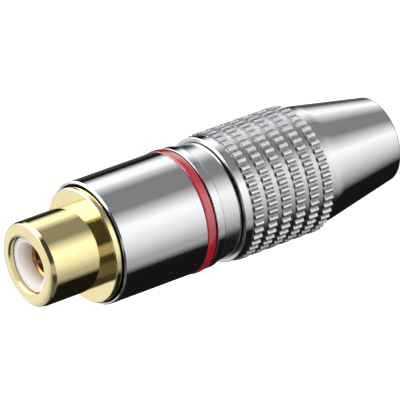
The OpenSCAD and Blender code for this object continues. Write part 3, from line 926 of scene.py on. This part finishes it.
class PHONO_OT_inner_parts(bpy.types.Operator):
    """Gives the pieces that keep their solids their finishes"""
    bl_idname = "phono.inner_parts"
    bl_label = "Inner parts"

    def execute(self, context):
        colours = context.scene.phono_colours
        tin = tin_plate(colours)
        finishes = {
            "centre_contact": contact_gold(colours),
            "rear_insulator": turned_insulator(colours),
            "ground_tag": tin,
            "lock_nut": tin,
            "insulating_tube": vulcanised_fibre(colours),
            "clamp_collet": black_nylon(colours),
        }
        for node, material in finishes.items():
            for slot in frame["nodes"][node].material_slots:
                slot.material = material
        return {"FINISHED"}


# Studio. Polished metal shows the room, so two rings of soft cards stand round the part: a low
# ring that its sides show, and a high ring that its flat faces show. A card is the four places
# where its light starts, is full, begins to fall and ends, in degrees round from the camera,
# and how bright it is. Where cards overlap, their light adds up.
LOW_CARDS = (
    # A bright strip behind, on one side
    ((-132, -115, -98, -75), 1.4),
    # The grey wall on both sides of the camera
    ((-90, -75, 68, 82), 0.3),
    # The main card over the camera, which fades to one side
    ((-35, -5, 5, 60), 1.1),
    # A faint card in that fading light
    ((5, 35, 68, 82), 0.2),
    # A faint card straight behind
    ((165, 175, 190, 220), 0.15),
)
HIGH_CARDS = (
    # A long card behind, and a bright one in front of it
    ((145, 170, 300, 312), 1.0),
    ((-145, -130, -65, -58), 2.8),
    # A small card beside the camera
    ((13, 22, 40, 48), 0.45),
    # A faint card at the side, and a dim wall round the camera
    ((62, 75, 105, 115), 0.1),
    ((-60, -45, 135, 150), 0.05),
)
# The room where no card stands
DARK_ROOM = 0.01
# The floor gives the low cards back softer by so many degrees, and drawn apart by a share
FLOOR_SOFTNESS = 4
FLOOR_DRAW = 1.06
# It also shows a narrow bright card straight behind, which draws a line of light down the cone
# when the part is seen from there
FLOOR_STRIP = ((168, 180, 180, 181), 3.8)
# Brightness of the card overhead, tint of the high ring's light, and the most light of all
TOP_CARD = 0.85
COOL_LIGHT = (0.985, 1.0, 1.04)
BRIGHTEST = 4.0
# Heights between which the floor turns into the low ring, that into the high ring and that into
# the top card. Straight down is -1, the horizon 0 and straight up 1
LOW_RING_STARTS = (-0.61, -0.53)
HIGH_RING_STARTS = (-0.15, 0.0)
TOP_CARD_STARTS = (0.88, 0.95)
# How brightly the floor glows to the camera alone, so that it looks white
FLOOR_GLOW = (0.7, 0.7, 0.7, 1.0)
# Where the soft lamp hangs: toward the camera, to its side and up
LAMP_PLACE = (0.55, -0.7, 0.6)


class PHONO_OT_studio(bpy.types.Operator):
    """Sets the floor, the room, the soft lamp and the camera"""
    bl_idname = "phono.studio"
    bl_label = "Studio"

    def execute(self, context):
        s = context.scene.phono_studio
        toward = Vector((math.sin(s.azimuth), -math.cos(s.azimuth), 0.0))
        up = Vector((0.0, 0.0, 1.0))
        side = toward.cross(up)
        self.lay_floor(s)
        self.light_room(context, s)
        self.hang_lamp(s, toward, side, up)
        self.place_camera(context, s, toward, side, up)
        context.scene.view_settings.view_transform = "Standard"
        return {"FINISHED"}

    def lay_floor(self, s):
        """A pale paper floor that turns white to the camera and keeps the part's shadow"""
        half = s.floor_width / 2
        mesh = bpy.data.meshes.new("paper_floor")
        corners = [(-half, -half, 0.0), (half, -half, 0.0), (half, half, 0.0), (-half, half, 0.0)]
        mesh.from_pydata(corners, [], [(0, 1, 2, 3)])
        floor = stand("paper_floor", mesh)
        material, tree = blank("floor_paper")
        paper = add(tree, "BsdfDiffuse", inputs={"Color": (*s.floor_colour, 1.0)})
        to_camera = add(tree, "LightPath").outputs["Is Camera Ray"]
        glow = add(tree, "Emission", inputs={"Color": FLOOR_GLOW, "Strength": to_camera})
        both = add(tree, "AddShader", inputs={0: paper, 1: glow})
        add(tree, "OutputMaterial", inputs={"Surface": both})
        mesh.materials.append(material)
        floor.visible_glossy = False

    def light_room(self, context, s):
        """White to the camera, even for light, and rings of cards for polished metal"""
        world = bpy.data.worlds.new("studio_room")
        context.scene.world = world
        world.use_nodes = True
        # A ray aimed at the room has no kind, so it would bring metal the even light in place
        # of the cards. Only the rays that meet the room by themselves bring its light
        world.cycles.sampling_method = "NONE"
        tree = world.node_tree
        tree.nodes.clear()
        way = add(tree, "TexCoord").outputs["Generated"]
        split = add(tree, "SeparateXYZ", inputs={0: way})
        bearing = add(tree, "Math", {"operation": "ARCTAN2"},
                      {0: split.outputs["Y"], 1: split.outputs["X"]})
        # The bearing as a place from 0 to 1 round a ring, with the camera's at the middle
        turns = add(tree, "Math", {"operation": "MULTIPLY_ADD"},
                    {0: bearing, 1: -1 / math.tau, 2: 1.25 + s.azimuth / math.tau})
        place = add(tree, "Math", {"operation": "FRACT"}, {0: turns})
        spread = np.array((-1, 1, -1, 1)) * FLOOR_SOFTNESS
        given_back = [(FLOOR_DRAW * (corners + spread), light) for corners, light in LOW_CARDS]
        cards = self.ring_of_cards(tree, place, [*given_back, FLOOR_STRIP])
        low = self.ring_of_cards(tree, place, LOW_CARDS)
        high = add(tree, "VectorMath", {"operation": "MULTIPLY"},
                   {0: self.ring_of_cards(tree, place, HIGH_CARDS), 1: COOL_LIGHT})
        roof = (TOP_CARD / BRIGHTEST,) * 3 + (1.0,)
        for (start, stop), upper in ((LOW_RING_STARTS, low), (HIGH_RING_STARTS, high),
                                     (TOP_CARD_STARTS, roof)):
            part = add(tree, "MapRange", {"interpolation_type": "SMOOTHSTEP"},
                       {"Value": split.outputs["Z"], "From Min": start, "From Max": stop})
            cards = add(tree, "Mix", {"data_type": "RGBA"}, {"Factor": part, 6: cards, 7: upper})
        for_metal = add(tree, "Background", inputs={"Color": cards, "Strength": BRIGHTEST})
        even_light = add(tree, "Background", inputs={"Color": WHITE, "Strength": s.room_light})
        white = add(tree, "Background", inputs={"Color": WHITE, "Strength": 1.0})
        path = add(tree, "LightPath")
        by_metal = add(tree, "Math", {"operation": "MAXIMUM"},
                       {0: path.outputs["Is Glossy Ray"], 1: path.outputs["Is Transmission Ray"]})
        lit = add(tree, "MixShader", inputs={0: by_metal, 1: even_light, 2: for_metal})
        seen = add(tree, "MixShader",
                   inputs={0: path.outputs["Is Camera Ray"], 1: lit, 2: white})
        add(tree, "OutputWorld", inputs={"Surface": seen})

    def ring_of_cards(self, tree, place, cards):
        """Brightness of a ring of cards at a place from 0 to 1 round it. The light changes evenly
        between the corners of the cards, so a ramp with a stop at each corner is all it needs"""
        bearings = {float((corner + 180) % 360 - 180) for corners, light in cards
                    for corner in corners}
        stops = add(tree, "ValToRGB", inputs={0: place})
        ramp = stops.color_ramp
        for degrees in sorted(bearings | {-180.0, 180.0}):
            brightness = DARK_ROOM
            for corners, light in cards:
                for turn in (-360, 0, 360):
                    brightness += light * np.interp(degrees + turn, corners, (0, 1, 1, 0))
            # A new ramp has a stop at each of its ends
            if abs(degrees) < 180:
                stop = ramp.elements.new(degrees / 360 + 0.5)
            else:
                stop = ramp.elements[0 if degrees < 0 else -1]
            level = float(brightness) / BRIGHTEST
            stop.color = (level, level, level, 1.0)
        return stops

    def hang_lamp(self, s, toward, side, up):
        """One large soft lamp, on the side that is up in the picture"""
        lamp = bpy.data.lights.new("soft_lamp", "AREA")
        lamp.shape = "DISK"
        lamp.size = s.lamp_width
        lamp.energy = s.lamp_power
        holder = stand("soft_lamp", lamp)
        near, aside, high = LAMP_PLACE
        direction = (toward * near + side * aside + up * high).normalized()
        holder.location = up * s.aim_height + direction * s.lamp_distance
        holder.rotation_euler = direction.to_track_quat("Z", "Y").to_euler()
        holder.visible_glossy = False

    def place_camera(self, context, s, toward, side, up):
        """A long lens, rolled so that the part's axis slopes across the picture"""
        camera = bpy.data.cameras.new("camera")
        camera.lens = camera.sensor_width * s.distance / s.view_width
        camera.clip_start = 10 * MM
        camera.clip_end = 10.0
        holder = stand("camera", camera)
        sight = toward * math.cos(s.elevation) + up * math.sin(s.elevation)
        along = up * math.cos(s.elevation) - toward * math.sin(s.elevation)
        right = -along * math.cos(s.roll) + side * math.sin(s.roll)
        upward = -along * math.sin(s.roll) - side * math.cos(s.roll)
        aim = up * s.aim_height - side * s.aim_side
        turn = Matrix((right, upward, sight)).transposed().to_4x4()
        holder.matrix_world = Matrix.Translation(aim + sight * s.distance) @ turn
        context.scene.camera = holder


GROUPS = {
    "phono_jack": JackSizes,
    "phono_barrel": BarrelSizes,
    "phono_ring": RingSizes,
    "phono_rear": RearBodySizes,
    "phono_shell": ShellSizes,
    "phono_colours": FinishColours,
    "phono_studio": StudioSettings,
}
OPERATORS = (
    PHONO_OT_contact_sleeve,
    PHONO_OT_front_insulator,
    PHONO_OT_front_barrel,
    PHONO_OT_colour_ring,
    PHONO_OT_rear_body,
    PHONO_OT_back_shell,
    PHONO_OT_inner_parts,
    PHONO_OT_studio,
)


class PHONO_PT_panel(bpy.types.Panel):
    """Lists the sizes, the colours and the pieces"""
    bl_idname = "PHONO_PT_panel"
    bl_label = "Phono Socket"
    bl_space_type = "VIEW_3D"
    bl_region_type = "UI"
    bl_category = "Phono Socket"

    def draw(self, context):
        for operator in OPERATORS:
            self.layout.operator(operator.bl_idname)
        for name in GROUPS:
            group = getattr(context.scene, name)
            box = self.layout.box()
            for key in group.bl_rna.properties.keys():
                if key not in ("rna_type", "name"):
                    box.prop(group, key)


def register():
    for name, group in GROUPS.items():
        bpy.utils.register_class(group)
        setattr(bpy.types.Scene, name, PointerProperty(type=group))
    for operator in OPERATORS:
        bpy.utils.register_class(operator)
    bpy.utils.register_class(PHONO_PT_panel)


def unregister():
    bpy.utils.unregister_class(PHONO_PT_panel)
    for operator in reversed(OPERATORS):
        bpy.utils.unregister_class(operator)
    for name, group in GROUPS.items():
        delattr(bpy.types.Scene, name)
        bpy.utils.unregister_class(group)


def main():
    register()
    bpy.ops.phono.contact_sleeve()
    bpy.ops.phono.front_insulator()
    bpy.ops.phono.front_barrel()
    bpy.ops.phono.colour_ring()
    bpy.ops.phono.rear_body()
    bpy.ops.phono.back_shell()
    bpy.ops.phono.inner_parts()
    bpy.ops.phono.studio()


if __name__ == "__main__":
    main()
